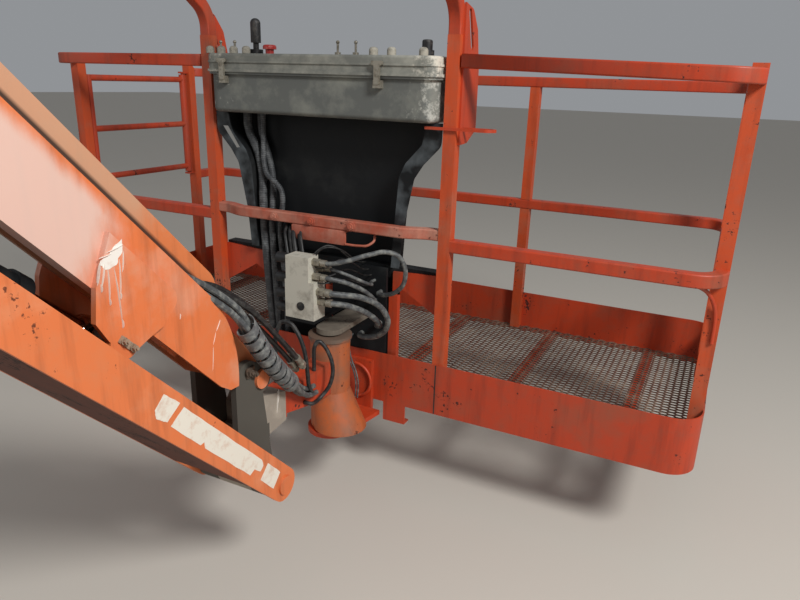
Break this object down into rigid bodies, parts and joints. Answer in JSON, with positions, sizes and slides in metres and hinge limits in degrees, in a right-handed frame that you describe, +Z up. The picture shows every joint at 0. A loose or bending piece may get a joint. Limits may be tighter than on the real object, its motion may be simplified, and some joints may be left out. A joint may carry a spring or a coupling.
{
  "type": "boom lift work platform with jib",
  "caption": "Railed work platform with control console, upright rotator and a parallelogram jib with its cylinder, hung from a bored knuckle",
  "frame": {"origin": "centre of the knuckle's boom pin bore, which hangs the part from the boom", "axes": "+X to the right seen from the boom and along the boom pin, +Y out along the jib to the platform, +Z up"},
  "size_m": [2.44, 3.0512, 1.7859],
  "materials": {
    "orange": "faded, scuffed orange enamel",
    "pin_steel": "worn, a little rusty",
    "zinc_steel": "dulled zinc plating",
    "chrome": "hard chrome",
    "black_paint": "dusty black enamel",
    "grey_cast": "dusty grey casting",
    "aluminium": "dusty milled block",
    "mesh_steel": "rusty expanded metal",
    "console_grey": "dusty moulded grey",
    "black_plastic": "moulded black",
    "rubber": "dusty hose cover",
    "red_plastic": "faded red"
  },
  "bodies": {
    "root": {"boom_knuckle": "orange", "knuckle_tubes": "orange", "knuckle_pins": "pin_steel", "base_pin_collars": "orange"},
    "upper_arm": {"upper_arm_box": "orange", "arm_shroud": "orange", "cylinder_lugs": "orange", "eye_pin_ends": "pin_steel", "hose_clamps": "black_plastic", "arm_hoses": "rubber"},
    "lower_arm": {"lower_arm_sides": "orange", "lower_arm_web": "orange"},
    "jib_cylinder": {"cylinder_barrel": "black_paint"},
    "jib_rod": {"cylinder_rod": "chrome"},
    "front_link": {"front_link": "grey_cast", "link_pins": "pin_steel", "rotator_housing": "orange", "support_arm": "orange", "hose_sleeve": "rubber", "sleeve_hoses": "rubber"},
    "platform": {"rotator_shaft": "pin_steel", "rotator_yoke": "orange", "yoke_arm": "orange", "hose_guard": "pin_steel", "valve_block": "aluminium", "valve_ports": "zinc_steel", "valve_coils": "black_plastic", "mount_plate": "black_paint", "valve_hoses": "rubber", "console_conduits": "rubber", "floor_panel": "mesh_steel", "floor_beams": "orange", "toe_boards": "orange", "top_rails": "orange", "mid_rails": "orange", "bow_rail": "orange", "bow_plate": "orange", "bow_hook": "pin_steel", "posts": "orange", "arch_plates": "orange", "arch_horns": "orange", "arch_bar": "orange", "mount_beam": "black_paint", "mount_gussets": "orange", "mount_uprights": "orange", "toe_angle": "orange", "console_stand": "black_paint", "console_box": "console_grey", "console_rim": "console_grey", "lid_bosses": "black_plastic", "lid_clips": "zinc_steel", "joysticks": "black_plastic", "console_levers": "zinc_steel", "stop_button": "red_plastic", "post_loop": "pin_steel", "gate_hinges": "orange"},
    "gate": {"gate": "orange"}
  },
  "joints": [
    {"name": "jib_lift", "type": "hinge", "parent": "root", "child": "upper_arm", "pos_m": [0, 0.19, 0.15], "axis": [1, 0, 0], "range_deg": [-14, 106]},
    {"name": "lower_arm_swing", "type": "hinge", "parent": "root", "child": "lower_arm", "pos_m": [0, 0.19, -0.135], "axis": [1, 0, 0], "range_deg": [-14, 106]},
    {"name": "link_level", "type": "hinge", "parent": "upper_arm", "child": "front_link", "pos_m": [0, 1.4612, -1.1664], "axis": [1, 0, 0], "range_deg": [-106, 14]},
    {"name": "cylinder_swing", "type": "hinge", "parent": "root", "child": "jib_cylinder", "pos_m": [0, 0.225, -0.21], "axis": [1, 0, 0], "range_deg": [-14.14, 107.06]},
    {"name": "cylinder_stroke", "type": "slide", "parent": "jib_cylinder", "child": "jib_rod", "axis": [0, 0.7568, -0.6536], "range_m": [-0.07819, 0.59202]},
    {"name": "platform_rotate", "type": "hinge", "parent": "front_link", "child": "platform", "pos_m": [0, 1.8912, -1.4664], "axis": [0, 0, 1], "range_deg": [-90, 90]},
    {"name": "gate_swing", "type": "hinge", "parent": "platform", "child": "gate", "pos_m": [-1.347, 2.7412, -0.6864], "axis": [0, 0, 1], "range_deg": [0, 90]}
  ],
  "couplings": [
    {"joint": "lower_arm_swing", "follows": "jib_lift", "ratio": 1},
    {"joint": "link_level", "follows": "jib_lift", "ratio": -1},
    {"joint": "cylinder_swing", "follows": "jib_lift", "ratio": 1.01},
    {"joint": "cylinder_stroke", "follows": "jib_lift", "m_per_rad": 0.32}
  ]
}
